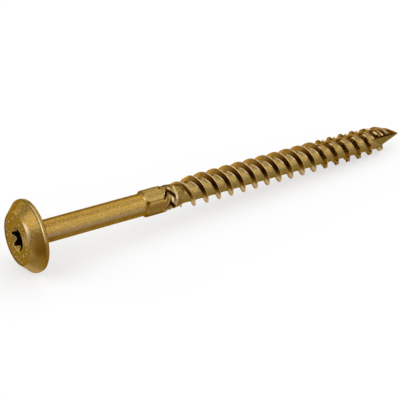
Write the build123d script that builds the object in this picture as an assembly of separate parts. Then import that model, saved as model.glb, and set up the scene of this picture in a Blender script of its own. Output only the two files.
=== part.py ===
from build123d import *
import math
import os

# Timber lag screw, lying on its head rim and on the last crests of its thread.
# It is built upright along its own axis, from the head face at 0 to the point,
# with the side that will lie on the bench turned to +X, and laid down at the end.
# A station is a distance from the head face. Millimetres and degrees throughout.

# Washer head
face_radius = 5.03
rim_radius = 7.0
rim_front = 2.12
rim_back = 3.08
rim_back_radius = 6.82
rim_chamfer = 0.2
neck_radius = 2.7
neck_length = 0.6

# Six-lobe drive socket
lobe_across = 4.5
waist_across = 3.26
lobe_radius = 0.38
socket_depth = 2.3
socket_floor_cone = 0.55
socket_turn = 26.5

# Plain shank
shank_radius = 2.2

# Reamer collar between shank and thread
collar_start = 26.2
collar_ramp = 0.8
collar_radius = 2.62
collar_end = 30.2
collar_fall = 1.2
flute_count = 6
flute_floor = 2.46
flute_half_width = 0.24
flute_turn = 1.2

# Crossed grooves and slots behind the collar
knurl_radius = 2.34
knurl_back = 33.4
knurl_runout = 1.8
knurl_count = 6
knurl_lead = 12.4
knurl_floor = 2.04
knurl_half_width = 0.34
groove_start = 29.8
groove_length = 2.6
groove_turn = 12.2
slot_start = 31.4
slot_length = 1.2
slot_turn = 22.4

# Wood thread with two starts
core_radius = 1.93
crest_radius = 3.09
thread_lead = 5.85
thread_starts = 2
crest_half_width = 0.06
foot_radius = 0.45
foot_half_width = 1.29
crest_overrun = 0.2
thread_start = 32.0
run_in_radius = 2.1
run_in_end = 38.0
crest_station = 41.01
first_thread_end = 85.6
second_thread_end = 88.6

# Serrated crests near the point
serration_start = 67.6
serration_end = 83.2
serration_count = 11
serration_floor = 2.58
serration_floor_half_width = 0.3
serration_mouth_half_width = 0.64
serration_turn = 28.4

# Point and its slash cut
taper_start = 78.0
shoulder_station = 84.3
shoulder_radius = 2.62
lead_station = 87.2
lead_radius = 1.68
cone_start = 83.6
overall_length = 90.0
tip_radius = 0.08
slash_start = 81.6
slash_radius = 1.95
slash_turn = 234.2
slash_opening = 102.0
slash_reach = 5.0

# Where the chamfered rim and the thread rest on the bench
rim_rest_station = 2.317
rim_rest_radius = 6.963
rest_station = 78.96
rest_radius = 3.0


def around(radius, angle, station=0.0):
    """Point at a radius, an angle about the axis and a station."""
    turn = math.radians(angle)
    return Vector(radius * math.cos(turn), radius * math.sin(turn), station)


def spaced(count, first):
    """Angles of a run of features spaced evenly round the axis."""
    return [first + step * 360 / count for step in range(count)]


def cut_all(blank, cutters):
    """Take a run of cutters out of a blank, one after another."""
    for cutter in cutters:
        blank = blank - cutter
    return blank


def half_section(points):
    """Flat half section of a turned shape from (radius, station) corners."""
    corners = [Vector(radius, 0, station) for radius, station in points]
    return make_face(Polyline(*corners, close=True))


def revolved(points):
    """Solid of revolution about the screw axis from (radius, station) corners."""
    return revolve(half_section(points), Axis.Z, 360)


def body_blank():
    """Head, shank, reamer collar, core and cone, before anything is cut."""
    section = half_section(
        [
            (0, 0),
            (face_radius, 0),
            (rim_radius, rim_front),
            (rim_back_radius, rim_back),
            (neck_radius, rim_back),
            (shank_radius, rim_back + neck_length),
            (shank_radius, collar_start),
            (collar_radius, collar_start + collar_ramp),
            (collar_radius, collar_end),
            (knurl_radius, collar_end + collar_fall),
            (knurl_radius, knurl_back),
            (core_radius, knurl_back + knurl_runout),
            (core_radius, cone_start),
            (tip_radius, overall_length),
            (0, overall_length),
        ]
    )
    rim = Vector(rim_radius, 0, rim_front)
    rim_corner = section.vertices().sort_by_distance(rim)[0]
    return revolve(chamfer(rim_corner, rim_chamfer), Axis.Z, 360)


def six_lobe_outline():
    """Driver outline of six lobes and six waists, drawn as twelve tangent arcs."""
    lobe_centre = lobe_across / 2 - lobe_radius
    half_waist = waist_across / 2
    lean = lobe_centre * math.cos(math.radians(30))
    spread = lobe_radius**2 - lobe_centre**2 - half_waist**2 + 2 * lean * half_waist
    waist_radius = spread / (2 * (half_waist - lean - lobe_radius))
    waist_centre = around(half_waist + waist_radius, 30)
    lobe_point = around(lobe_centre, 0)
    touch = lobe_point + (waist_centre - lobe_point).normalized() * lobe_radius
    touch_angle = math.degrees(math.atan2(touch.Y, touch.X))
    arcs = []
    for middle in spaced(6, 0):
        before = around(touch.length, middle - touch_angle)
        after = around(touch.length, middle + touch_angle)
        following = around(touch.length, middle + 60 - touch_angle)
        arcs.append(ThreePointArc(before, around(lobe_across / 2, middle), after))
        arcs.append(ThreePointArc(after, around(half_waist, middle + 30), following))
    return make_face(arcs)


def socket():
    """Six-lobe driver recess with a coned floor."""
    bore = extrude(six_lobe_outline(), socket_depth)
    floor = revolved(
        [
            (0, socket_depth),
            (waist_across / 2, socket_depth),
            (0, socket_depth + socket_floor_cone),
        ]
    )
    return Rot(0, 0, socket_turn) * (bore + floor)


def helical_rails(corners, lead, station, rise, lefthand):
    """One stretch of helix for each section corner, given as (radius, offset)."""
    rails = []
    for radius, offset in corners:
        rail = Pos(0, 0, station + offset) * Helix(lead, rise, radius, lefthand=lefthand)
        rails.append(rail.edge())
    return rails


def end_cap(rails, end):
    """Flat face that closes a helical bar at one end of its rails."""
    return make_face(Polyline([rail @ end for rail in rails], close=True)).face()


def helical_bar(corners, lead, start, length, lefthand=False):
    """Solid bar that climbs a helix, its ruled sides laid one turn at a time."""
    sides = []
    climbed = 0
    while climbed < length:
        rise = min(lead, length - climbed)
        rails = helical_rails(corners, lead, start + climbed, rise, lefthand)
        for rail, following in zip(rails, rails[1:] + rails[:1]):
            sides.append(Face.make_surface_from_curves(rail, following))
        if climbed == 0:
            sides.append(end_cap(rails, 0))
        climbed += rise
    sides.append(end_cap(rails, 1))
    return Solid(Shell(sides))


def collar_flutes():
    """Lengthwise V cutters that break the collar into lands."""
    top = 2 * collar_radius - flute_floor
    section = Polyline(
        (flute_floor, 0, collar_start),
        (top, -2 * flute_half_width, collar_start),
        (top, 2 * flute_half_width, collar_start),
        close=True,
    )
    bar = extrude(make_face(section), amount=collar_end - collar_start, dir=(0, 0, 1))
    return [Rot(0, 0, angle) * bar for angle in spaced(flute_count, flute_turn)]


def knurl_grooves():
    """V cutters for the left-hand grooves and the right-hand slots they run into."""
    top = 2 * collar_radius - knurl_floor
    section = [
        (knurl_floor, 0),
        (top, -2 * knurl_half_width),
        (top, 2 * knurl_half_width),
    ]
    groove = helical_bar(section, knurl_lead, groove_start, groove_length, lefthand=True)
    slot = helical_bar(section, knurl_lead, slot_start, slot_length)
    grooves = [Rot(0, 0, angle) * groove for angle in spaced(knurl_count, groove_turn)]
    slots = [Rot(0, 0, angle) * slot for angle in spaced(knurl_count, slot_turn)]
    return grooves + slots


def thread_envelope():
    """Outer limit of the thread: it rises out of the collar and thins at the point."""
    return revolved(
        [
            (0, groove_start),
            (run_in_radius, groove_start),
            (run_in_radius, thread_start),
            (crest_radius, run_in_end),
            (crest_radius, taper_start),
            (shoulder_radius, shoulder_station),
            (lead_radius, lead_station),
            (tip_radius, overall_length),
            (0, overall_length),
        ]
    )


def thread_ridge(start_index, end_station):
    """One start of the thread, run past the outer limit it is trimmed to."""
    section = [
        (foot_radius, -foot_half_width),
        (crest_radius + crest_overrun, -crest_half_width),
        (crest_radius + crest_overrun, crest_half_width),
        (foot_radius, foot_half_width),
    ]
    ridge = helical_bar(section, thread_lead, thread_start, end_station - thread_start)
    turn = 360 * (thread_start - crest_station) / thread_lead
    turn += 360 * start_index / thread_starts
    return Rot(0, 0, turn) * ridge


def serrations():
    """Lengthwise cutters with sloping sides that notch every crest they pass."""
    deep = crest_radius - serration_floor
    flare = 2 * serration_mouth_half_width - serration_floor_half_width
    section = Polyline(
        (serration_floor, -serration_floor_half_width, serration_start),
        (serration_floor, serration_floor_half_width, serration_start),
        (crest_radius + deep, flare, serration_start),
        (crest_radius + deep, -flare, serration_start),
        close=True,
    )
    bar = extrude(make_face(section), amount=serration_end - serration_start, dir=(0, 0, 1))
    return [Rot(0, 0, angle) * bar for angle in spaced(serration_count, serration_turn)]


def threads():
    """Each start of the thread, trimmed to the envelope and scalloped."""
    envelope = thread_envelope()
    ridges = []
    for index, end_station in enumerate((first_thread_end, second_thread_end)):
        ridge = thread_ridge(index, end_station) & envelope
        ridges.append(cut_all(ridge, serrations()))
    return ridges


def slash_cut():
    """Wedge whose inner edge runs from the surface of the core to the very tip."""
    edge_start = around(slash_radius, slash_turn, slash_start)
    edge = Vector(0, 0, overall_length) - edge_start
    frame = Plane(origin=edge_start, x_dir=around(1, slash_turn), z_dir=edge.normalized())
    lean = math.radians(slash_opening - 90)
    section = Polyline(
        (0, 0),
        (slash_reach * math.cos(lean), -slash_reach * math.sin(lean)),
        (slash_reach, slash_reach),
        (0, slash_reach),
        close=True,
    )
    return extrude(frame * make_face(section), amount=edge.length + slash_reach)


def lay_down(screw):
    """Turn the screw onto its side so that head rim and thread crests touch Z 0."""
    rise = rim_rest_radius - rest_radius
    drop = math.atan(rise / (rest_station - rim_rest_station))
    lying = Rot(0, 90 + math.degrees(drop), 0) * screw
    box = lying.bounding_box()
    middle = box.center()
    return Pos(-middle.X, -middle.Y, -box.min.Z) * lying


def main():
    """Build the lag screw and write it out as a STEP file."""
    os.makedirs("parts", exist_ok=True)
    body = cut_all(body_blank(), [socket(), *collar_flutes(), *knurl_grooves()])
    screw = body + threads()
    screw = screw - slash_cut()
    export_step(lay_down(screw), "parts/lag_screw.step")


main()
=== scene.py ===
"""Looks of a plated timber lag screw lying on a pale floor.

The screw is one closed skin. Each sub-assembly is a class that holds its sizes and
gives the part of the skin that it owns, in millimetres: a station is a distance from
the head face along the axis, a turn is an angle round the axis in radians, and a
radius is a distance from the axis. The skin is then laid down in the frame.
"""

import logging
import math
from dataclasses import dataclass, field
from enum import Enum

import bmesh
import bpy
import numpy as np
from mathutils import Matrix, Vector


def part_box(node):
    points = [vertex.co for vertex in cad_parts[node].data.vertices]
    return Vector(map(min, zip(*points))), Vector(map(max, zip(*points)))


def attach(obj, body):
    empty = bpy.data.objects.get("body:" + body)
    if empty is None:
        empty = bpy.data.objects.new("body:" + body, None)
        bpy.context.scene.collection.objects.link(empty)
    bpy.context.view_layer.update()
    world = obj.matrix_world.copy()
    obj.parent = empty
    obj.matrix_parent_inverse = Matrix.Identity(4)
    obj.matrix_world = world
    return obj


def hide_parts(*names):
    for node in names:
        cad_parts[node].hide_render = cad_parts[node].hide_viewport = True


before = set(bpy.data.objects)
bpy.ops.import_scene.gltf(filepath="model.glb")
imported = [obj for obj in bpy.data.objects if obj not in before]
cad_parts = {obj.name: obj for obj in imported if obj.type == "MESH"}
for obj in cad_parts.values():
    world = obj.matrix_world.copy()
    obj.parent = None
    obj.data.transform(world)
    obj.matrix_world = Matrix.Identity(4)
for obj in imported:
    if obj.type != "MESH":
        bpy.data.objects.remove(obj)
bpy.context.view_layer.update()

NODE = "lag_screw"
MILLIMETRE = 0.001
COLUMNS = 208
WELD_DISTANCE = 1e-7
# Colour marks of the skin: the first paints highlights, reflections and a sheen pale, the second paints
# shade dark, and the third is the plating's khaki tone, on the shank's front also a painted sheen tone.
MARKS = ("painted_highlight", "painted_shade", "dull")
UNCUT = 9.0
TINY = 1e-3
FILLET_STEPS = 5
SWELLS = 9
WHITE = (1.0, 1.0, 1.0)

Corner = tuple[float, float, float]
Colour = tuple[float, float, float]
Grid = np.ndarray
Socket = bpy.types.NodeSocket
Pair = tuple[Grid, Grid]
Span = tuple[float, float]
log = logging.getLogger("lag_screw")


class Hand(Enum):
    """Which way a groove winds round the axis."""

    RIGHT = 1.0
    LEFT = -1.0


@dataclass
class Skin:
    """One stretch of the screw's skin, as rows of points round the axis.

    The last column repeats the first one, a full turn on.
    """

    station: Grid
    radius: Grid
    turn: Grid
    # The next two marks paint highlights and shade into the colour; the last one is a khaki tone.
    painted_highlight: Grid
    painted_shade: Grid
    dull: Grid


def full_turn() -> Grid:
    """Turns of the columns, with the first one repeated at the end."""
    return np.linspace(0.0, 2 * math.pi, COLUMNS + 1)


def level(value: Grid, low: float, high: float) -> Grid:
    """Smooth step of a value from 0 at low to 1 at high.

    Args:
        value: Values to step.
        low: Where the step starts.
        high: Where the step ends.

    Returns:
        Shares from 0 to 1.
    """
    share = np.clip((value - low) / (high - low), 0.0, 1.0)
    return share * share * (3.0 - 2.0 * share)


def soft_min(first: Grid, second: Grid, blend: float) -> Grid:
    """Smaller of two surfaces, with the edge between them rounded over.

    Args:
        first: Radii of one surface.
        second: Radii of the other surface.
        blend: Width of the rounding.

    Returns:
        Radii of the rounded lower surface.
    """
    share = np.clip(0.5 + 0.5 * (second - first) / blend, 0.0, 1.0)
    return second + (first - second) * share - blend * share * (1.0 - share)


def rounded(corners: list[Corner]) -> list[tuple[float, float]]:
    """Outline through corners, each rounded by its own fillet.

    Args:
        corners: Station, radius and fillet of each corner.

    Returns:
        Station and radius of each point of the outline.
    """
    outline = [corners[0][:2]]
    for before, corner, after in zip(corners, corners[1:], corners[2:]):
        middle = np.array(corner[:2])
        back = np.array(before[:2]) - middle
        ahead = np.array(after[:2]) - middle
        back /= np.linalg.norm(back)
        ahead /= np.linalg.norm(ahead)
        opening = math.acos(float(np.clip(back @ ahead, -1.0, 1.0)))
        if corner[2] <= 0.0:
            outline.append(tuple(middle))
            continue
        reach = corner[2] / math.tan(opening / 2)
        inward = (back + ahead) / np.linalg.norm(back + ahead)
        centre = middle + inward * corner[2] / math.sin(opening / 2)
        start = middle + back * reach - centre
        end = middle + ahead * reach - centre
        for step in range(FILLET_STEPS + 1):
            share = step / FILLET_STEPS
            spoke = start * (1 - share) + end * share
            spoke *= corner[2] / np.linalg.norm(spoke)
            outline.append(tuple(centre + spoke))
    outline.append(corners[-1][:2])
    return outline


def about(turn: Grid, degrees: float, spread: float) -> Grid:
    """Share that is 1 at one turn and fades out to both sides of it.

    Args:
        turn: Turns of the points.
        degrees: Turn where the share is 1.
        spread: Degrees to where the share is 0.

    Returns:
        Shares from 0 to 1.
    """
    away = (turn - math.radians(degrees) + math.pi) % (2 * math.pi) - math.pi
    return 1.0 - level(np.abs(away), 0.0, math.radians(spread))


def ripple(station: Grid, turn: Grid, seed: int, size: float) -> Grid:
    """Smooth uneven swell over the skin, the same on each run.

    Args:
        station: Stations of the points.
        turn: Turns of the points.
        seed: Picks one swell out of many.
        size: Rough length of the swells.

    Returns:
        Heights of about -1 to 1.
    """
    draw = np.random.default_rng(seed)
    total = np.zeros_like(station)
    for _ in range(SWELLS):
        lobes = int(draw.integers(1, 9))
        pace = draw.normal(0.0, 2 * math.pi / size)
        phase = draw.uniform(0.0, 2 * math.pi)
        total += np.sin(lobes * turn + pace * station + phase)
    return total * 2 / SWELLS


@dataclass(frozen=True)
class Patch:
    """A mark that is strongest at one turn and fades out to both sides of it."""

    strength: float
    degrees: float
    spread: float

    def at(self, turn: Grid) -> Grid:
        """Strengths of the mark at each turn."""
        return self.strength * about(turn, self.degrees, self.spread)


@dataclass
class DriveSocket:
    """Six-lobe driver recess with a coned floor and a countersunk mouth."""

    lobe_across: float = 4.64
    waist_across: float = 3.34
    lobe_radius: float = 0.44
    depth: float = 2.3
    floor_cone: float = 0.55
    turn_degrees: float = 34.0
    mouth_radius: float = 2.36
    mouth_slope: float = 1.0
    mouth_lip: float = 0.03
    floor_shares: tuple[float, ...] = (0.35, 0.7)
    wall_stations: tuple[float, ...] = (1.5, 0.9, 0.7, 0.6, 0.5, 0.4, 0.3, 0.2, 0.1, 0.03)

    def outline(self, turn: Grid) -> Grid:
        """Radius of the recess wall at each turn.

        Args:
            turn: Turns round the axis.

        Returns:
            Radii of the wall.
        """
        centre = self.lobe_across / 2 - self.lobe_radius
        waist = self.waist_across / 2
        lean = centre * math.cos(math.radians(30))
        spread = self.lobe_radius**2 - centre**2 - waist**2 + 2 * lean * waist
        arc = spread / (2 * (waist - lean - self.lobe_radius))
        sixth = math.radians(60)
        local = turn - math.radians(self.turn_degrees)
        from_lobe = (local + sixth / 2) % sixth - sixth / 2
        from_waist = np.abs(from_lobe) - sixth / 2
        span = waist + arc
        inside = np.maximum(arc**2 - (span * np.sin(from_waist)) ** 2, 0.0)
        hollow = span * np.cos(from_waist) - np.sqrt(inside)
        inside = np.maximum(self.lobe_radius**2 - (centre * np.sin(from_lobe)) ** 2, 0.0)
        lobe = centre * np.cos(from_lobe) + np.sqrt(inside)
        gap = math.hypot(span * math.cos(sixth / 2) - centre, span * math.sin(sixth / 2))
        touch_x = centre + (span * math.cos(sixth / 2) - centre) / gap * self.lobe_radius
        touch_y = span * math.sin(sixth / 2) / gap * self.lobe_radius
        limit = math.atan2(touch_y, touch_x)
        return np.where(np.abs(from_lobe) < limit, lobe, hollow)

    def funnel(self, station: Grid) -> Grid:
        """Radius of the countersunk mouth at each station."""
        return self.mouth_radius - station / self.mouth_slope

    def rows(self) -> list[tuple[float, Grid]]:
        """Station and radii of each ring, from the floor's middle to the mouth.

        Returns:
            Pairs of a station and one radius for each column.
        """
        wall = self.outline(full_turn())
        rings = [(self.depth + self.floor_cone, wall * 0.0)]
        for share in self.floor_shares:
            rings.append((self.depth + self.floor_cone * (1 - share), wall * share))
        for station in (self.depth, *self.wall_stations):
            rings.append((station, np.maximum(wall, self.funnel(station))))
        rings.append((0.0, np.full_like(wall, self.mouth_radius + self.mouth_lip)))
        return rings


@dataclass
class WasherHead:
    """Low coned washer head with its driver recess and bearing face."""

    face_radius: float = 5.03
    face_inset: float = 0.22
    face_inner: float = 2.45
    face_depth: float = 0.09
    face_swell: float = 0.012
    rim_radius: float = 7.0
    rim_front: float = 2.12
    rim_back: float = 3.08
    rim_back_radius: float = 6.82
    rim_chamfer: float = 0.2
    rim_front_fillet: float = 0.1
    rim_back_fillet: float = 0.4
    edge_fillet: float = 0.2
    pip_radius: float = 3.85
    pip_spread: float = 0.6
    pip_sway: float = 0.07
    pip_count: int = 34
    pip_size: float = 0.23
    pip_height: float = 0.09
    bearing_radius: float = 4.6
    neck_radius: float = 2.7
    neck_length: float = 0.6
    neck_fillet: float = 0.5
    neck_lead: float = 0.6
    shank_radius: float = 2.2
    ring_shares: tuple[float, ...] = (0.1, 0.25, *np.linspace(0.4, 0.95, 14), 1.0)
    brow_reach: float = 0.12
    # Painted highlights on the recess brow and on the pips.
    brow_highlight: float = 1.3
    pip_highlight: float = 1.7
    # Painted shade ring round each pip.
    pip_shade_ring: float = 0.7
    face_dull: float = 0.8
    side_dull: float = 0.3
    mouth_edge: float = 2.42
    mouth_span: Span = (0.02, 1.0)
    # Painted shade in the recess grows over this span of depth.
    hollow_climb: Span = (0.15, 1.2)
    line_depth: float = 0.13
    line_width: float = 0.24
    lip_depth: float = 0.05
    # Painted highlight on the recess lip.
    lip_highlight: float = 0.6
    # Painted shade: where it starts out on the bevel, and its base on the band.
    shade_climb: Span = (5.0, 6.2)
    band_shade_base: float = 0.14
    hollow_reach: float = 2.6
    bevel_end: float = 2.3
    band_inner: float = 6.0
    # Painted shade on the bevel's lower side and on the band; the face is darkened towards one turn.
    bevel_shade: Patch = Patch(1.0, 264.0, 40.0)
    band_shade: Patch = Patch(0.3, 280.0, 46.0)
    face_darkening: Patch = Patch(0.12, 100.0, 60.0)
    rim_climb: Span = (6.86, 6.9)
    # Painted highlights: a pale line along the rim's front edge and along the face's edge, and pale
    # patches on the bevel, the band and the face, each at the turn where light catches it.
    rim_line: Patch = Patch(1.2, 220.0, 64.0)
    face_line: Patch = Patch(1.1, 228.0, 48.0)
    bevel_highlight: Patch = Patch(0.9, 325.0, 50.0)
    band_highlight: Patch = Patch(0.9, 168.0, 24.0)
    face_highlight: Patch = Patch(0.68, 248.0, 60.0)
    socket: DriveSocket = field(default_factory=DriveSocket)

    def outline(self) -> list[tuple[float, float]]:
        """Outline from the face's edge over the rim to the foot of the neck.

        Returns:
            Station and radius of each point of the outline.
        """
        rise = self.rim_radius - self.face_radius
        fall = self.rim_radius - self.rim_back_radius
        width = self.rim_back - self.rim_front
        ahead = self.rim_chamfer / math.hypot(self.rim_front, rise)
        behind = self.rim_chamfer / math.hypot(width, fall)
        chamfer_front = self.rim_front * (1 - ahead)
        chamfer_back = self.rim_front + width * behind
        neck_end = self.rim_back + self.neck_length
        corners = [
            (0.0, self.face_radius - self.face_inset, 0.0),
            (0.0, self.face_radius, self.edge_fillet),
            (self.rim_front / 2, (self.face_radius + self.rim_radius) / 2, 0.0),
            (chamfer_front, self.rim_radius - rise * ahead, self.rim_front_fillet),
            (chamfer_back, self.rim_radius - fall * behind, self.rim_back_fillet),
            (self.rim_back, self.rim_back_radius, self.edge_fillet),
            (self.rim_back, self.bearing_radius, 0.0),
            (self.rim_back, self.neck_radius, self.edge_fillet),
            (neck_end, self.shank_radius, self.neck_fillet),
            (neck_end + self.neck_lead, self.shank_radius, 0.0),
        ]
        return rounded(corners)

    def skin(self) -> Skin:
        """Skin from the middle of the recess floor to the foot of the neck.

        Returns:
            The head's stretch of skin.
        """
        turn = full_turn()
        rings = self.socket.rows()
        mouth = rings[-1][1]
        face_edge = self.face_radius - self.face_inset
        for share in self.ring_shares:
            rings.append((0.0, mouth * (1 - share) + face_edge * share))
        for station, radius in self.outline()[1:]:
            rings.append((station, np.full_like(turn, radius)))
        station = np.array([np.full_like(turn, ring[0]) for ring in rings])
        radius = np.array([ring[1] for ring in rings])
        turns = np.broadcast_to(turn, station.shape).copy()
        on_face = (station < TINY) & (radius > self.face_inner)
        pips = self.pips(radius, turns) * on_face
        sunk = self.face_depth + self.face_swell * ripple(radius, turns, 5, 1.1)
        station = station + on_face * sunk - pips * self.pip_height
        top, bottom = self.mouth_span
        inside = (radius < self.mouth_edge) & (station > top) & (station < bottom)
        off_wall = np.abs(self.socket.funnel(station) - self.socket.outline(turns))
        # Painted highlight along the recess brow, where the mouth's cone meets the lobed wall.
        brow = inside * level(self.brow_reach - off_wall, 0.0, 0.1)
        painted_highlight = np.maximum(self.painted_highlight(station, radius, turns, on_face), self.brow_highlight * brow)
        # Painted highlight along the rim's front edge and on the pips.
        rim = level(radius, *self.rim_climb) * (station < self.bevel_end + 0.1)
        painted_highlight = np.maximum(painted_highlight, rim * self.rim_line.at(turns) + pips * self.pip_highlight)
        painted_shade = self.painted_shade(station, radius, turns, on_face)
        # Painted shade in the recess, deeper towards its floor and left off the brow.
        painted_shade = painted_shade + level(station, *self.hollow_climb) * (radius < self.hollow_reach) * (1.0 - brow)
        # Painted shade ring round each pip.
        painted_shade = painted_shade + self.pip_shade_ring * (level(pips, 0.08, 0.25) - level(pips, 0.3, 0.6))
        dull = self.face_dull * on_face + self.side_dull * (radius > self.face_radius)
        return Skin(station, radius, turns, painted_highlight, painted_shade, dull)

    def painted_highlight(self, station: Grid, radius: Grid, turn: Grid, on_face: Grid) -> Grid:
        """Where highlights are painted pale on the face, its edge, the bevel, the band and the recess
        mouth.

        Args:
            station: Stations of the points.
            radius: Radii of the points.
            turn: Turns of the points.
            on_face: Which points lie on the flat face.

        Returns:
            Strengths of the painted highlight.
        """
        edge = (station < self.line_depth) & (radius > self.face_radius - self.line_width)
        lip = (station < self.lip_depth) & (radius < self.mouth_edge)
        highlighted = np.maximum(edge * self.face_line.at(turn), self.lip_highlight * lip)
        highlighted = np.maximum(highlighted, self.on_bevel(station, radius) * self.bevel_highlight.at(turn))
        highlighted = np.maximum(highlighted, self.on_band(station, radius) * self.band_highlight.at(turn))
        return np.maximum(highlighted, on_face * self.face_highlight.at(turn))

    def painted_shade(self, station: Grid, radius: Grid, turn: Grid, on_face: Grid) -> Grid:
        """Where shade is painted dark on the bevel's lower side and on the band, and where the face is
        darkened towards one turn.

        Args:
            station: Stations of the points.
            radius: Radii of the points.
            turn: Turns of the points.
            on_face: Which points lie on the flat face.

        Returns:
            Strengths of the painted shade.
        """
        shaded = self.bevel_shade.at(turn) * level(radius, *self.shade_climb)
        shaded = shaded * self.on_bevel(station, radius)
        shaded = shaded * (0.85 + 0.3 * ripple(radius, turn, 31, 0.8))
        shaded = shaded + self.on_band(station, radius) * (self.band_shade_base + self.band_shade.at(turn))
        return 0.9 * (shaded + on_face * self.face_darkening.at(turn))

    def on_bevel(self, station: Grid, radius: Grid) -> Grid:
        """Which points lie on the bevel."""
        return (radius > self.face_radius) & (station < self.bevel_end)

    def on_band(self, station: Grid, radius: Grid) -> Grid:
        """Which points lie on the rim's outer band."""
        return (radius > self.band_inner) & (station >= self.bevel_end) & (station < self.rim_back)

    def pips(self, radius: Grid, turn: Grid) -> Grid:
        """Heights from 0 to 1 of the plain uneven pips on the face.

        Args:
            radius: Radii of the points.
            turn: Turns of the points.

        Returns:
            Heights of the points.
        """
        draw = np.random.default_rng(23)
        total = np.zeros_like(radius)
        for place in np.arange(self.pip_count) * 2 * math.pi / self.pip_count:
            turned = place + draw.uniform(-self.pip_sway, self.pip_sway)
            out = self.pip_radius + draw.uniform(-self.pip_spread, self.pip_spread)
            across = radius * np.cos(turn) - out * math.cos(turned)
            along = radius * np.sin(turn) - out * math.sin(turned)
            near = (across**2 + along**2) / self.pip_size**2
            total = np.maximum(total, draw.uniform(0.5, 1.0) * np.exp(-near))
        return total


@dataclass
class PlainShank:
    """Smooth shank between the head and the collar."""

    radius: float = 2.2
    start: float = 4.28
    end: float = 26.0
    rings: int = 28
    swell: float = 0.006
    # Painted shade along the shank's lower side, a painted pale sheen just above it, and a painted
    # khaki sheen tone on its front.
    shade_patch: Patch = Patch(0.42, 274.0, 34.0)
    sheen: Patch = Patch(0.64, 264.0, 52.0)
    front_sheen_tone: Patch = Patch(0.6, 240.0, 28.0)
    top_dull: Patch = Patch(0.5, 150.0, 25.0)

    def skin(self) -> Skin:
        """Skin of the drawn shank, a little uneven as drawn wire is.

        Returns:
            The shank's stretch of skin.
        """
        stations = np.linspace(self.start, self.end, self.rings)
        station, turn = np.meshgrid(stations, full_turn(), indexing="ij")
        radius = self.radius + self.swell * ripple(station, turn, 11, 7.0)
        smear = 1.0 + 0.3 * ripple(station, turn, 41, 3.0)
        # Painted shade along the lower side, smeared unevenly, and painted shade next to the head.
        painted_shade = self.shade_patch.at(turn) * smear + 0.12 * level(7.4 - station, 0.0, 1.2)
        dull = self.front_sheen_tone.at(turn) + self.top_dull.at(turn)
        # The painted sheen on the lower front goes in as the highlight mark.
        return Skin(station, radius, turn, self.sheen.at(turn), painted_shade, dull)


@dataclass
class CrossedGrooves:
    """V grooves of both hands that cross behind the collar."""

    count: int = 6
    lead: float = 12.4
    left_start: float = 30.3
    left_end: float = 31.5
    left_turn: float = -2.3
    right_start: float = 31.4
    right_end: float = 32.7
    right_turn: float = 22.4
    floor: float = 2.04
    left_slope: float = 1.5
    right_slope: float = 0.85
    lip: float = 0.17
    lip_away: float = 0.42
    lip_width: float = 0.17
    lip_fade: float = 4.0
    end_slope: float = 2.0

    def both(self, station: Grid, turn: Grid) -> Pair:
        """Highest radius that the grooves of both hands leave, and their raised lips.

        Args:
            station: Stations of the points.
            turn: Turns of the points.

        Returns:
            Radii, large where there is no groove, and heights of the lips.
        """
        limits, lips = zip(*(self.limit(station, turn, hand) for hand in Hand))
        return np.minimum(*limits), np.maximum(*lips)

    def limit(self, station: Grid, turn: Grid, hand: Hand) -> Pair:
        """Highest radius that the grooves of one hand leave, and their raised lips.

        Args:
            station: Stations of the points.
            turn: Turns of the points.
            hand: Which way the grooves wind.

        Returns:
            Radii, large where there is no groove, and heights of the lips.
        """
        if hand is Hand.LEFT:
            start, end = self.left_start, self.left_end
            first, slope = self.left_turn, self.left_slope
        else:
            start, end = self.right_start, self.right_end
            first, slope = self.right_turn, self.right_slope
        step = 2 * math.pi / self.count
        climbed = hand.value * 2 * math.pi * (station - start) / self.lead
        away = (turn - math.radians(first) - climbed + step / 2) % step
        away = np.abs(away - step / 2) * self.lead / (2 * math.pi)
        fade = np.maximum(start - station, 0.0) + np.maximum(station - end, 0.0)
        lip = self.lip * np.exp(-(((away - self.lip_away) / self.lip_width) ** 2))
        limit = self.floor + away * slope + fade * self.end_slope
        return limit, lip * np.exp(-fade * self.lip_fade)


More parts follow.
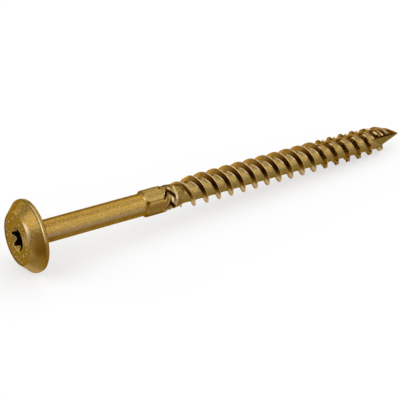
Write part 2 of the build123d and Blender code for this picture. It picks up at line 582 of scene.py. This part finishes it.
@dataclass
class ReamerCollar:
    """Raised collar with lengthwise flutes, and the crossed grooves behind it."""

    start: float = 26.3
    ramp: float = 0.5
    radius: float = 2.62
    end: float = 30.2
    fall: float = 1.2
    flute_count: int = 6
    flute_floor: float = 2.46
    flute_half_width: float = 0.24
    flute_turn: float = 1.2
    shank_radius: float = 2.2
    back_radius: float = 2.34
    back: float = 33.4
    runout: float = 1.8
    core_radius: float = 1.93
    rings: int = 76
    lips_rise: float = 0.8
    lips_fall: float = 0.5
    hammered: float = 0.03
    # Painted shade in the crossed grooves: how far up from their floor it reaches, its blend and its
    # strength.
    deep_reach: float = 0.46
    deep_blend: float = 0.25
    deep_shade: float = 1.3
    # Painted highlights are left off where the painted groove shade is deeper than this; then their
    # strength behind the collar and on the groove lips.
    highlight_below: float = 0.3
    behind_highlight: float = 0.62
    ridge_highlight: float = 5.8
    # Painted highlight along the collar's front edge.
    front_line: Patch = Patch(1.7, 205.0, 30.0)
    # Painted shade on the collar's lower side, in a notch near its front and on its bottom.
    side_shade: Patch = Patch(0.4, 262.0, 42.0)
    front_notch_shade: Patch = Patch(1.2, 240.0, 12.0)
    heel_shade: Patch = Patch(0.8, 310.0, 26.0)
    grooves: CrossedGrooves = field(default_factory=CrossedGrooves)

    def surface(self, station: Grid, turn: Grid) -> Grid:
        """Radius of the collar and of what follows it, without the thread.

        Args:
            station: Stations of the points.
            turn: Turns of the points.

        Returns:
            Radii of the surface.
        """
        corners = [
            (self.start, self.shank_radius),
            (self.start + self.ramp, self.radius),
            (self.end, self.radius),
            (self.end + self.fall, self.back_radius),
            (self.back, self.back_radius),
            (self.back + self.runout, self.core_radius),
        ]
        plain = np.interp(station, [c[0] for c in corners], [c[1] for c in corners])
        cut = np.minimum(plain, self.fluted(station, turn))
        cut = np.where(station < self.start, self.shank_radius, cut)
        limits, lips = self.grooves.both(station, turn)
        rolled = level(station, self.end, self.end + self.lips_rise)
        rolled = rolled * level(self.back - station, 0.0, self.lips_fall)
        cut = cut + rolled * (lips + self.hammered * ripple(station, turn, 37, 0.8))
        cut = np.minimum(cut, limits)
        return np.where(station < self.start, self.shank_radius, cut)

    def fluted(self, station: Grid, turn: Grid) -> Grid:
        """Highest radius that the lengthwise flutes leave.

        Args:
            station: Stations of the points.
            turn: Turns of the points.

        Returns:
            Radii, large behind the collar.
        """
        step = 2 * math.pi / self.flute_count
        away = (turn - math.radians(self.flute_turn) + step / 2) % step - step / 2
        slope = (self.radius - self.flute_floor) / self.flute_half_width
        flute = self.flute_floor + np.abs(away) * self.radius * slope
        return np.where(station < self.end, flute, UNCUT)

    def skin(self) -> Skin:
        """Skin from just before the collar to where the thread takes over.

        Returns:
            The collar's stretch of skin.
        """
        stations = np.concatenate(
            [
                np.array([self.start - 0.01]),
                np.linspace(self.start, self.start + self.ramp, 6),
                np.linspace(self.start + self.ramp, self.back, self.rings)[1:],
            ]
        )
        station, turn = np.meshgrid(stations, full_turn(), indexing="ij")
        radius = self.surface(station, turn)
        limits, lips = self.grooves.both(station, turn)
        # Painted shade in the crossed grooves.
        deep = self.grooves.floor + self.deep_reach - limits
        deep = self.deep_shade * level(deep, 0.0, self.deep_blend)
        deep = deep * (0.4 + 0.6 * level(station, self.grooves.left_start, self.end + 0.3))
        # Painted highlights, kept out of the deeper painted groove shade.
        painted_highlight = self.painted_highlight(station, turn, lips) * (deep < self.highlight_below)
        painted_shade = np.maximum(deep, self.painted_shade(station, turn))
        dull = level(station, self.start, self.start + 0.2)
        return Skin(station, radius, turn, painted_highlight, painted_shade, dull)

    def painted_highlight(self, station: Grid, turn: Grid, lips: Grid) -> Grid:
        """Where highlights are painted on the front edge, the groove lips and the run behind them.

        Args:
            station: Stations of the points.
            turn: Turns of the points.
            lips: Heights of the groove lips.

        Returns:
            Strengths of the painted highlight.
        """
        front = self.front_line.at(turn) * (np.abs(station - self.start) < 0.1)
        front = front * level(ripple(station, turn, 17, 0.6), -0.4, 0.3)
        ridge = self.ridge_highlight * lips * (station > self.end)
        ridge = ridge * (0.8 + 0.4 * ripple(station, turn, 29, 0.9))
        behind = level(station, self.end + 1.0, self.end + 1.6)
        behind = behind * level(self.back + 0.6 - station, 0.0, 0.5)
        behind = behind * (self.behind_highlight + 0.5 * ripple(station, turn, 53, 0.7))
        return np.maximum(np.maximum(front, ridge), behind)

    def painted_shade(self, station: Grid, turn: Grid) -> Grid:
        """Where shade is painted on the collar outside its grooves: on its lower side, in a notch near
        its front and on its bottom.

        Args:
            station: Stations of the points.
            turn: Turns of the points.

        Returns:
            Strengths of the painted shade.
        """
        notch = self.front_notch_shade.at(turn) * level(self.start + 1.0 - station, 0.0, 0.4)
        notch = notch * (station > self.start + 0.1)
        heel = self.heel_shade.at(turn) * (station < self.end)
        return np.maximum(np.maximum(self.side_shade.at(turn), notch), heel)


@dataclass
class SlashPoint:
    """Cone under the last turns, and the wedge slashed out of its side."""

    cone_start: float = 83.6
    core_radius: float = 1.93
    tip: float = 90.0
    tip_radius: float = 0.08
    slash_start: float = 81.6
    slash_radius: float = 1.95
    slash_turn: float = 234.2
    wall_lean: float = 0.207
    # Painted shade line along the slash's corner, strongest at this turn.
    shade_patch: Patch = Patch(1.0, 231.2, 12.0)

    def cone(self, station: Grid) -> Grid:
        """Radius of the bare core and cone at each station."""
        stops = [self.cone_start, self.tip]
        return np.interp(station, stops, [self.core_radius, self.tip_radius])

    def slash(self, station: Grid, turn: Grid) -> Pair:
        """Highest radius that the slash leaves standing.

        Args:
            station: Stations of the points.
            turn: Turns of the points.

        Returns:
            Radii of the flat face and of the steep wall, large where nothing is cut.
        """
        run = self.tip - self.slash_start
        depth = self.slash_radius * np.clip((self.tip - station) / run, 0.0, None)
        away = turn - math.radians(self.slash_turn)
        away = (away + math.pi) % (2 * math.pi) - math.pi
        face = np.where(away >= 0, depth / np.maximum(np.cos(away), TINY), UNCUT)
        face = np.where(np.cos(away) > TINY, face, UNCUT)
        lean = np.sin(away) + self.wall_lean * np.cos(away)
        wall = self.wall_lean * depth / np.maximum(lean, TINY)
        wall = np.where((away < 0) & (lean > TINY), wall, UNCUT)
        cut = station > self.slash_start
        return np.where(cut, face, UNCUT), np.where(cut, wall, UNCUT)

    def crease(self, station: Grid, turn: Grid) -> Grid:
        """Share of the painted shade line in the corner between the slash's face and wall.

        Args:
            station: Stations of the points.
            turn: Turns of the points.

        Returns:
            Shares from 0 to 1.
        """
        along = level(station, self.slash_start + 1.6, self.slash_start + 2.4)
        along = along * level(self.tip - station, 0.3, 1.0)
        return along * level(self.shade_patch.at(turn), 0.2, 0.7)


@dataclass
class WoodThread:
    """Two-start wood thread with serrated crests near the point."""

    core_radius: float = 1.93
    crest_radius: float = 3.09
    lead: float = 5.85
    starts: int = 2
    crest_half_width: float = 0.06
    flank: float = 2.07
    hollow_slope: float = 0.5
    head_hollow: float = 0.5
    tail_hollow: float = 0.24
    crest_station: float = 41.01
    start: float = 33.4
    tip: float = 90.0
    ends: tuple[float, float] = (85.6, 88.6)
    serration_start: float = 67.6
    serration_end: float = 83.2
    serration_count: int = 11
    serration_floor: float = 2.4
    serration_turn: float = 28.4
    serration_power: float = 0.55
    tooth_over: float = 0.05
    clear_of_collar: float = 40.0
    tapered_from: float = 70.0
    taper_blend: float = 0.04
    scallop_blend: float = 0.08
    hollow_in: tuple[float, float] = (35.0, 37.0)
    hollow_out: tuple[float, float] = (85.0, 87.0)
    least_climb: float = 0.45
    plain_until: float = 60.0
    least_flank: float = 0.06
    first_foot: float = 0.6
    last_foot: float = 1.2
    flank_shares: tuple[float, ...] = (0.0, 0.1, 0.5, 0.9, 1.0)
    root_shares: tuple[float, ...] = (0.2, 0.48)
    run_in: tuple[float, float] = (32.0, 2.1)
    full_from: float = 38.0
    full_to: float = 78.0
    taper: tuple[tuple[float, float], ...] = ((84.3, 2.62), (87.2, 1.68))
    bare_point: float = 86.5
    # Painted shade on the head-facing flanks, a little on the point-facing flanks, and in the serration
    # notches; the thread near the tip is darker.
    flank_shade_base: float = 0.42
    tail_shade: float = 0.1
    notch_shade: float = 1.5
    point_darkening: float = 0.5
    # Painted shade on the slash's steep wall and in its corner.
    wall_shade: float = 1.3
    crease_shade: float = 1.4
    # Painted highlights on the crests, the strength of the painted reflection on the flanks, and
    # painted highlights on the teeth.
    crest_highlight: float = 1.1
    flank_reflection_strength: float = 1.3
    tooth_highlight_base: float = 0.45
    toothed_most: float = 0.75
    # Painted shade on the head-facing flanks, strongest at this turn.
    flank_shade: Patch = Patch(0.9, 238.0, 58.0)
    # Painted reflection of the pale floor on the lower flanks, a painted highlight along the flank
    # feet, painted shade that dims the crest highlight at one turn, and a painted highlight on the
    # teeth.
    flank_reflection: Patch = Patch(1.0, 308.0, 50.0)
    foot_highlight: Patch = Patch(2.3, 204.0, 50.0)
    crest_shade: Patch = Patch(0.55, 250.0, 50.0)
    tooth_highlight: Patch = Patch(0.75, 190.0, 70.0)
    collar: ReamerCollar = field(default_factory=ReamerCollar)
    point: SlashPoint = field(default_factory=SlashPoint)

    @property
    def pitch(self) -> float:
        """Distance from one crest to the next."""
        return self.lead / self.starts

    def envelope(self, station: Grid) -> Grid:
        """Outer limit of the thread at each station.

        Args:
            station: Stations of the points.

        Returns:
            Radii of the limit.
        """
        corners = [
            self.run_in,
            (self.full_from, self.crest_radius),
            (self.full_to, self.crest_radius),
            *self.taper,
            (self.tip, self.point.tip_radius),
        ]
        return np.interp(station, [c[0] for c in corners], [c[1] for c in corners])

    def bare(self, station: Grid, turn: Grid) -> Grid:
        """Radius under the thread: collar run-out, core and cone."""
        bared = station > self.clear_of_collar
        return np.where(bared, self.point.cone(station), self.collar.surface(station, turn))

    def shortfall(self, station: Grid) -> Grid:
        """How much lower than full a crest stands where the thread runs in."""
        full = np.clip(self.envelope(station), 0.0, self.crest_radius)
        return np.where(station < self.clear_of_collar, self.crest_radius - full, 0.0)

    def half_width(self, radius: Grid) -> Grid:
        """Half the thickness of a crest where it reaches a radius."""
        return self.crest_half_width + (self.crest_radius - radius) / self.flank

    def crests(self, station: Grid, turn: Grid) -> Pair:
        """Number and station of the crest nearest to each point.

        Args:
            station: Stations of the points.
            turn: Turns of the points.

        Returns:
            Numbers of the crests and stations of their middles.
        """
        climbed = self.crest_station + self.lead * turn / (2 * math.pi)
        number = np.round((station - climbed) / self.pitch)
        return number, climbed + number * self.pitch

    def height(self, station: Grid, turn: Grid) -> tuple[Grid, Grid, Grid]:
        """Radius of the threaded skin, and where each point lies on a flank.

        Args:
            station: Stations of the points.
            turn: Turns of the points.

        Returns:
            Radii of the skin, shares of the climb up a flank, and how near a foot
            the points are.
        """
        crest, here = self.crests(station, turn)
        away = np.abs(station - here)
        ridge = self.crest_radius - np.maximum(away - self.crest_half_width, 0.0) * self.flank
        ridge = ridge - self.shortfall(here)
        tapered = self.envelope(station) + UNCUT * (station < self.tapered_from)
        ridge = soft_min(ridge, tapered, self.taper_blend)
        ridge = soft_min(ridge, self.serration(station, turn), self.scallop_blend)
        ends = np.where(crest % self.starts == 0, self.ends[0], self.ends[1])
        ridge = np.where(here > ends, 0.0, ridge)
        bare = self.bare(station, turn)
        reach = np.where(station < here, self.head_hollow, self.tail_hollow)
        peak = 0.5 * self.hollow_slope * reach
        foot = self.half_width(np.minimum(bare + peak + self.shortfall(here), self.crest_radius))
        near = np.clip(1.0 - (away - foot) / reach, 0.0, 1.0)
        near = np.where((here > ends) | (ridge < bare - 2.0), 0.0, near)
        hollowed = level(station, *self.hollow_in) * (1.0 - level(station, *self.hollow_out))
        base = bare + peak * near * near * hollowed
        top = np.minimum(self.envelope(station), self.crest_radius) - self.shortfall(here)
        climb = np.clip((ridge - base) / np.maximum(top - base, self.least_climb), 0.0, 1.0)
        return np.maximum(ridge, base), climb, near

    def serration(self, station: Grid, turn: Grid) -> Grid:
        """Wavy limit that scallops the crests near the point.

        Args:
            station: Stations of the points.
            turn: Turns of the points.

        Returns:
            Radii, large where the crests stay smooth.
        """
        wave = np.cos(self.serration_count * (turn - math.radians(self.serration_turn)))
        deep = self.crest_radius + self.tooth_over - self.serration_floor
        limit = self.serration_floor + deep * (0.5 - 0.5 * wave) ** self.serration_power
        inside = (station > self.serration_start) & (station < self.serration_end)
        return np.where(inside, limit, UNCUT)

    def edges(self, middle: Grid, side: float) -> list[Grid]:
        """Distances from a crest's middle to the edges on one side of it.

        Args:
            middle: Station of the crest in each column.
            side: -1 towards the head, 1 towards the point.

        Returns:
            Distances of the crest's edge, three rows of the flank, its foot and two
            rows of the root.
        """
        reach = self.head_hollow if side < 0 else self.tail_hollow
        edge = np.full_like(middle, self.crest_half_width)
        foot = np.full_like(middle, self.first_foot)
        for _ in range(3):
            limit = np.minimum(self.envelope(middle + side * edge), self.crest_radius)
            limit = np.where(middle < self.plain_until, self.crest_radius, limit)
            edge = np.clip(self.half_width(limit), 0.0, 1.0)
            under = self.point.cone(middle + side * foot) + self.shortfall(middle)
            under = under + 0.5 * self.hollow_slope * reach
            foot = np.clip(self.half_width(under), edge + self.least_flank, self.last_foot)
        room = self.pitch / 2 - foot
        flank = [edge + (foot - edge) * share for share in self.flank_shares]
        return flank + [foot + room * share for share in self.root_shares]

    def rows(self) -> Grid:
        """Stations of the skin's rows, each one following the thread round.

        Returns:
            One station for each row and column, kept between start and tip.
        """
        turn = full_turn()
        first = math.floor((self.start - self.crest_station - self.lead) / self.pitch) - 1
        last = math.ceil((self.tip - self.crest_station) / self.pitch) + 1
        rows = []
        for crest in range(first, last + 1):
            middle = self.crest_station + crest * self.pitch
            middle = middle + self.lead * turn / (2 * math.pi)
            before, after = self.edges(middle, -1.0), self.edges(middle, 1.0)
            rows.append(middle - self.pitch / 2)
            rows.extend(middle - offset for offset in reversed(before))
            rows.extend(middle + offset for offset in after)
        stations = np.clip(np.array(rows), self.start, self.tip)
        return np.maximum.accumulate(stations, axis=0)

    def skin(self) -> Skin:
        """Skin of the thread, core and point, closed over the very tip.

        Returns:
            The thread's stretch of skin.
        """
        station = self.rows()
        turn = np.broadcast_to(full_turn(), station.shape)
        radius, climb, near = self.height(station, turn)
        face, wall = self.point.slash(station, turn)
        on_face = (face < radius) & (face < wall)
        on_wall = (wall < radius) & (wall < face)
        radius = np.minimum(radius, np.minimum(face, wall))
        painted_highlight, painted_shade = self.marks(station, turn, climb, near)
        painted_highlight = np.where(on_wall | on_face | (station > self.bare_point), 0.0, painted_highlight)
        # Painted shade on the slash's steep wall and in its corner.
        painted_shade = np.where(on_wall, self.wall_shade, np.where(on_face, 0.0, painted_shade))
        painted_shade = np.maximum(painted_shade, self.crease_shade * self.point.crease(station, turn))
        dull = np.ones_like(station)
        tip = np.full((1, station.shape[1]), self.tip)
        return Skin(
            np.concatenate([station, tip]),
            np.concatenate([radius, tip * 0.0]),
            np.concatenate([turn, turn[:1]]),
            np.concatenate([painted_highlight, tip * 0.0]),
            np.concatenate([painted_shade, tip * 0.0]),
            np.concatenate([dull, tip * 0.0]),
        )

    def marks(self, station: Grid, turn: Grid, climb: Grid, near: Grid) -> Pair:
        """Where highlights and a reflection are painted pale on the thread, where shade is painted dark
        on it, and where it is darker near the tip.

        Args:
            station: Stations of the points.
            turn: Turns of the points.
            climb: Shares of the climb up a flank.
            near: How near a foot the points are.

        Returns:
            Strengths of the painted highlight and of the painted shade.
        """
        headward = station < self.crests(station, turn)[1]
        flank = level(climb, 0.0, 0.08) * level(1.0 - climb, 0.0, 0.08)
        scallop = self.serration(station, turn) - self.serration_floor
        scallop = scallop / (self.crest_radius + self.tooth_over - self.serration_floor)
        toothed = scallop < 1.2
        # Painted reflection of the pale floor on the lower flanks, half as strong on the teeth.
        reflected = self.flank_reflection.at(turn) * np.where(toothed, 0.5, 1.0)
        # Painted shade on the head-facing flanks, less where the reflection is painted.
        shaded = (self.flank_shade_base + self.flank_shade.at(turn)) * (1.0 - reflected)
        painted_shade = flank * np.where(headward, shaded, self.tail_shade)
        # Painted shade in the serration notches.
        notch = toothed * np.clip(1.15 - 1.3 * scallop, 0.0, 1.0)
        painted_shade = np.maximum(painted_shade, self.notch_shade * notch * level(climb, 0.15, 0.3))
        # Darker on the thread's raised parts near the tip.
        pointed = (station > self.bare_point) * level(climb, 0.1, 0.3)
        painted_shade = np.maximum(painted_shade, self.point_darkening * pointed)
        # Painted highlight along the feet of the head-facing flanks, and on the crests, dimmed by
        # painted shade at one turn.
        streak = self.foot_highlight.at(turn) * near**2 * (climb < 0.02)
        crest = level(climb, 0.93, 1.0) * (self.crest_highlight - self.crest_shade.at(turn))
        painted_highlight = np.maximum(flank * reflected * self.flank_reflection_strength, streak)
        painted_highlight = np.maximum(crest, headward * painted_highlight)
        painted_highlight = np.where(toothed, np.minimum(painted_highlight, self.toothed_most), painted_highlight)
        # Painted highlight on the tips of the teeth.
        teeth = toothed * level(scallop, 0.6, 0.9) * level(climb, 0.7, 0.85)
        return np.maximum(painted_highlight, (self.tooth_highlight_base + self.tooth_highlight.at(turn)) * teeth), painted_shade


class NodeBench:
    """Adds and joins the nodes of one material."""

    def __init__(self, name: str) -> None:
        """Start a material with its usual nodes.

        Args:
            name: Name of the material.
        """
        self.material = bpy.data.materials.new(name)
        self.material.use_nodes = True
        self.nodes = self.material.node_tree.nodes
        self.links = self.material.node_tree.links

    def fill(self, node: bpy.types.Node, inputs: dict) -> None:
        """Fill a node's inputs.

        Args:
            node: The node.
            inputs: Values, colours or sockets, by the input's name or place.
        """
        for name, value in inputs.items():
            if isinstance(value, Socket):
                self.links.new(value, node.inputs[name])
            elif isinstance(value, tuple):
                node.inputs[name].default_value = (*value, 1.0)
            else:
                node.inputs[name].default_value = value

    def add(self, kind: str, inputs: dict) -> bpy.types.Node:
        """Add a node.

        Args:
            kind: Type of the node.
            inputs: Values, colours or sockets for its inputs.

        Returns:
            The new node.
        """
        node = self.nodes.new(kind)
        self.fill(node, inputs)
        return node

    def noise(self, scale: float, detail: float) -> Socket:
        """Noise over the object's own space.

        Args:
            scale: Noise cells in a metre.
            detail: Octaves of the noise.

        Returns:
            The noise's value socket.
        """
        place = self.add("ShaderNodeTexCoord", {}).outputs["Object"]
        inputs = {"Vector": place, "Scale": scale, "Detail": detail}
        return self.add("ShaderNodeTexNoise", inputs).outputs["Fac"]

    def mark(self, name: str) -> Socket:
        """Socket that reads one of the skin's own marks.

        Args:
            name: Name of the mark, such as wear.

        Returns:
            The mark's value socket.
        """
        reader = self.nodes.new("ShaderNodeAttribute")
        reader.attribute_name = name
        return reader.outputs["Fac"]

    def ramp(self, share: Socket, climb: Span, result: Span) -> Socket:
        """Value that goes over one span as a share climbs over another.

        Args:
            share: Socket of the share.
            climb: Where the share's climb starts and ends.
            result: What comes out at the start and the end.

        Returns:
            The value's socket.
        """
        inputs = {"Value": share, "From Min": climb[0], "From Max": climb[1]}
        inputs |= {"To Min": result[0], "To Max": result[1]}
        return self.add("ShaderNodeMapRange", inputs).outputs["Result"]

    def over(self, tone: Colour | Socket, colour: Colour, share: Socket) -> Socket:
        """Colour laid over a tone.

        Args:
            tone: What lies below.
            colour: What is laid over it.
            share: How much of the colour shows.

        Returns:
            The new tone's socket.
        """
        blend = self.nodes.new("ShaderNodeMix")
        blend.data_type = "RGBA"
        self.fill(blend, {"A": tone, "B": colour, "Factor": share})
        return blend.outputs["Result"]

    def combine(self, operation: str, first: Socket, second: float | Socket) -> Socket:
        """Two values taken together.

        Args:
            operation: What is done with them.
            first: Socket of the first value.
            second: The second value, or its socket.

        Returns:
            The result's socket.
        """
        node = self.nodes.new("ShaderNodeMath")
        node.operation = operation
        self.fill(node, {0: first, 1: second})
        return node.outputs["Value"]


@dataclass(frozen=True)
class PlatedSteel:
    """Satin yellow-bronze plating over steel, with highlights and a sheen painted pale and shade
    painted dark into its colour.
    """

    gold: Colour = (0.245, 0.138, 0.02)
    khaki: Colour = (0.215, 0.142, 0.036)
    fleck: Colour = (0.36, 0.24, 0.085)
    pale: Colour = (0.60, 0.46, 0.28)
    bright: Colour = (0.88, 0.76, 0.54)
    brown: Colour = (0.19, 0.086, 0.009)
    dark: Colour = (0.042, 0.016, 0.002)
    edge: Colour = (0.82, 0.56, 0.26)
    speckle_scale: float = 3100.0
    speckle_detail: float = 3.0
    cloud_scale: float = 260.0
    cloud_detail: float = 2.0
    cloud_span: Span = (0.5, 1.3)
    dull_span: Span = (0.0, 1.0)
    fleck_span: Span = (0.47, 0.68)
    brown_span: Span = (0.05, 0.6)
    dark_span: Span = (0.6, 1.3)
    pale_span: Span = (0.5, 1.1)
    bright_span: Span = (1.1, 2.0)
    grain_span: Span = (0.3, 0.7)
    roughness: Span = (0.26, 0.42)
    bump_strength: float = 0.35
    bump_height: float = 0.00005

    def material(self) -> bpy.types.Material:
        """Node material of the plating.

        Returns:
            The new material.
        """
        bench = NodeBench("bronze_plating")
        speckle = bench.noise(self.speckle_scale, self.speckle_detail)
        cloud = bench.noise(self.cloud_scale, self.cloud_detail)
        painted_highlight, painted_shade, dull = (bench.mark(name) for name in MARKS)
        tone = self.gold
        for share, colour, span in (
            (cloud, self.brown, self.cloud_span),
            (dull, self.khaki, self.dull_span),
            (speckle, self.fleck, self.fleck_span),
            # Painted shade: the shade mark darkens the tone to brown and then to near black.
            (painted_shade, self.brown, self.brown_span),
            (painted_shade, self.dark, self.dark_span),
            # Painted highlight: the highlight mark lightens the tone to pale and then to near white.
            (painted_highlight, self.pale, self.pale_span),
            (painted_highlight, self.bright, self.bright_span),
        ):
            tone = bench.over(tone, colour, bench.ramp(share, span, (0.0, 1.0)))
        bump = bench.add(
            "ShaderNodeBump",
            {"Strength": self.bump_strength, "Distance": self.bump_height, "Height": speckle},
        )
        surface = {
            "Metallic": 1.0,
            "Specular Tint": self.edge,
            "Base Color": tone,
            "Roughness": bench.ramp(speckle, self.grain_span, self.roughness),
            "Normal": bump.outputs["Normal"],
        }
        bench.fill(bench.nodes["Principled BSDF"], surface)
        return bench.material


@dataclass
class LagScrew:
    """The whole screw: its sub-assemblies joined to one skin and laid down."""

    rim_rest_station: float = 2.317
    rim_rest_radius: float = 6.963
    rest_station: float = 78.96
    rest_radius: float = 3.0
    lift: float = 0.01
    crease_degrees: float = 34.0
    head: WasherHead = field(default_factory=WasherHead)
    shank: PlainShank = field(default_factory=PlainShank)
    collar: ReamerCollar = field(default_factory=ReamerCollar)
    thread: WoodThread = field(default_factory=WoodThread)
    finish: PlatedSteel = field(default_factory=PlatedSteel)

    def laid_down(self) -> Matrix:
        """Matrix from the screw's own axes, in millimetres, to the frame.

        Returns:
            The matrix.
        """
        rise = self.rim_rest_radius - self.rest_radius
        drop = math.atan(rise / (self.rest_station - self.rim_rest_station))
        cosine, sine = math.cos(drop), math.sin(drop)
        turned = Matrix(((-sine, 0, cosine), (0, 1, 0), (-cosine, 0, -sine)))
        low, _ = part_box(NODE)
        edge_x = sine * self.head.face_radius
        edge_z = cosine * self.rim_rest_radius + sine * self.rim_rest_station
        away = Vector((low.x / MILLIMETRE + edge_x, 0.0, low.z / MILLIMETRE + edge_z + self.lift))
        placed = Matrix.Translation(away) @ turned.to_4x4()
        return Matrix.Scale(MILLIMETRE, 4) @ placed

    def build(self) -> bpy.types.Object:
        """Make the screw's mesh, dress it and put it in the frame.

        Returns:
            The screw's object.
        """
        parts = {
            "washer head": self.head.skin(),
            "plain shank": self.shank.skin(),
            "reamer collar": self.collar.skin(),
            "thread and point": self.thread.skin(),
        }
        for name, skin in parts.items():
            log.info("%s: %d rows of skin", name, len(skin.station))
        skins = list(parts.values())
        station, radius, turn, *marks = (
            np.concatenate([getattr(skin, name) for skin in skins])
            for name in ("station", "radius", "turn", *MARKS)
        )
        points = np.stack([radius * np.cos(turn), radius * np.sin(turn), station], axis=-1)
        rows, columns = station.shape
        index = np.arange(rows * columns).reshape(rows, columns)
        quads = np.stack([index[:-1, :-1], index[1:, :-1], index[1:, 1:], index[:-1, 1:]], axis=-1)
        mesh = bpy.data.meshes.new("lag_screw_skin")
        mesh.from_pydata(points.reshape(-1, 3).tolist(), [], quads.reshape(-1, 4).tolist())
        for name, shares in zip(MARKS, marks):
            layer = mesh.attributes.new(name, "FLOAT", "POINT")
            layer.data.foreach_set("value", shares.astype(np.float32).ravel())
        mesh.transform(self.laid_down())
        self.weld(mesh)
        mesh.polygons.foreach_set("use_smooth", [True] * len(mesh.polygons))
        mesh.set_sharp_from_angle(angle=math.radians(self.crease_degrees))
        mesh.materials.append(self.finish.material())
        screw = bpy.data.objects.new("lag_screw_body", mesh)
        bpy.context.scene.collection.objects.link(screw)
        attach(screw, "root")
        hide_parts(NODE)
        log.info("%s: %d faces", screw.name, len(mesh.polygons))
        return screw

    def weld(self, mesh: bpy.types.Mesh) -> None:
        """Close the skin along its seam and drop what has shrunk to nothing.

        Args:
            mesh: The skin's mesh, changed in place.
        """
        work = bmesh.new()
        work.from_mesh(mesh)
        bmesh.ops.remove_doubles(work, verts=work.verts, dist=WELD_DISTANCE)
        bmesh.ops.dissolve_degenerate(work, edges=work.edges, dist=WELD_DISTANCE)
        bmesh.ops.recalc_face_normals(work, faces=work.faces)
        work.to_mesh(mesh)
        work.free()


@dataclass(frozen=True)
class SoftBox:
    """One soft studio lamp that faces the screw."""

    name: str
    heading: float
    elevation: float
    width: float
    height: float
    radiance: float
    distance: float = 0.7
    colour: Colour = WHITE

    def build(self) -> bpy.types.Object:
        """Make the lamp.

        Returns:
            The lamp's object.
        """
        lamp = bpy.data.lights.new(self.name, "AREA")
        lamp.shape = "RECTANGLE"
        lamp.size = self.width
        lamp.size_y = self.height
        lamp.color = self.colour
        lamp.energy = self.radiance * math.pi * self.width * self.height
        placed = bpy.data.objects.new(self.name, lamp)
        heading, lift = math.radians(self.heading), math.radians(self.elevation)
        flat = math.cos(lift)
        away = Vector((flat * math.cos(heading), flat * math.sin(heading), math.sin(lift)))
        placed.location = away * self.distance
        placed.rotation_mode = "QUATERNION"
        placed.rotation_quaternion = away.to_track_quat("Z", "Y")
        bpy.context.scene.collection.objects.link(placed)
        return placed


@dataclass
class Studio:
    """Pale floor, soft light and the camera."""

    floor_half: float = 6.0
    floor_colour: Colour = (0.82, 0.82, 0.82)
    plain_share: float = 0.6
    world_level: float = 0.62
    lens: float = 131.25
    sensor_width: float = 36.0
    clip: Span = (0.01, 20.0)
    spot: tuple[float, float, float] = (-0.140527, -0.204781, 0.146641)
    stance: tuple[float, float, float, float] = (0.830914, 0.475762, -0.142590, -0.250800)
    boxes: tuple[SoftBox, ...] = (
        SoftBox("lamp_front", -66.0, 28.0, 0.6, 0.66, 1.5),
        SoftBox("lamp_right", -20.0, 50.0, 0.6, 0.4, 1.2),
        SoftBox("lamp_left", 182.0, 43.0, 0.62, 0.42, 2.1),
        SoftBox("lamp_back", 46.0, 50.0, 0.5, 0.4, 1.5),
        SoftBox("lamp_far_left", 128.0, 12.0, 0.4, 0.24, 2.4),
    )

    def build(self) -> None:
        """Make the floor, the lamps, the world and the camera."""
        self.floor()
        for box in self.boxes:
            box.build()
        self.world()
        self.camera()

    def floor(self) -> bpy.types.Object:
        """Wide pale floor that shows plain white to the eye and in the metal.

        Returns:
            The floor's object.
        """
        half = self.floor_half
        mesh = bpy.data.meshes.new("floor")
        corners = [(-half, -half, 0), (half, -half, 0), (half, half, 0), (-half, half, 0)]
        mesh.from_pydata(corners, [], [(0, 1, 2, 3)])
        bench = NodeBench("pale_floor")
        bench.nodes.remove(bench.nodes["Principled BSDF"])
        matt = bench.add("ShaderNodeBsdfDiffuse", {"Color": self.floor_colour})
        plain = bench.add("ShaderNodeEmission", {"Color": WHITE, "Strength": 1.0})
        path = bench.add("ShaderNodeLightPath", {}).outputs
        seen = bench.combine("MAXIMUM", path["Is Camera Ray"], path["Is Glossy Ray"])
        seen = bench.combine("MAXIMUM", seen, path["Is Transmission Ray"])
        share = bench.combine("MULTIPLY", seen, self.plain_share)
        inputs = {"Fac": share, 1: matt.outputs["BSDF"], 2: plain.outputs["Emission"]}
        blend = bench.add("ShaderNodeMixShader", inputs)
        bench.fill(bench.nodes["Material Output"], {"Surface": blend.outputs["Shader"]})
        mesh.materials.append(bench.material)
        floor = bpy.data.objects.new("floor", mesh)
        bpy.context.scene.collection.objects.link(floor)
        return floor

    def world(self) -> None:
        """Plain pale surroundings."""
        world = bpy.data.worlds.new("studio")
        world.use_nodes = True
        sky = world.node_tree.nodes["Background"]
        sky.inputs["Color"].default_value = (*WHITE, 1.0)
        sky.inputs["Strength"].default_value = self.world_level
        bpy.context.scene.world = world
        bpy.context.scene.view_settings.view_transform = "Standard"

    def camera(self) -> bpy.types.Object:
        """Camera that looks down at the screw from the front left.

        Returns:
            The camera's object.
        """
        lens = bpy.data.cameras.new("camera")
        lens.lens = self.lens
        lens.sensor_width = self.sensor_width
        lens.clip_start, lens.clip_end = self.clip
        camera = bpy.data.objects.new("camera", lens)
        camera.location = self.spot
        camera.rotation_mode = "QUATERNION"
        camera.rotation_quaternion = self.stance
        bpy.context.scene.collection.objects.link(camera)
        bpy.context.scene.camera = camera
        return camera


def main() -> None:
    """Build the screw and its studio."""
    logging.basicConfig(level=logging.INFO, format="%(name)s %(message)s")
    screw = LagScrew()
    screw.build()
    studio = Studio()
    studio.build()


if __name__ == "__main__":
    main()
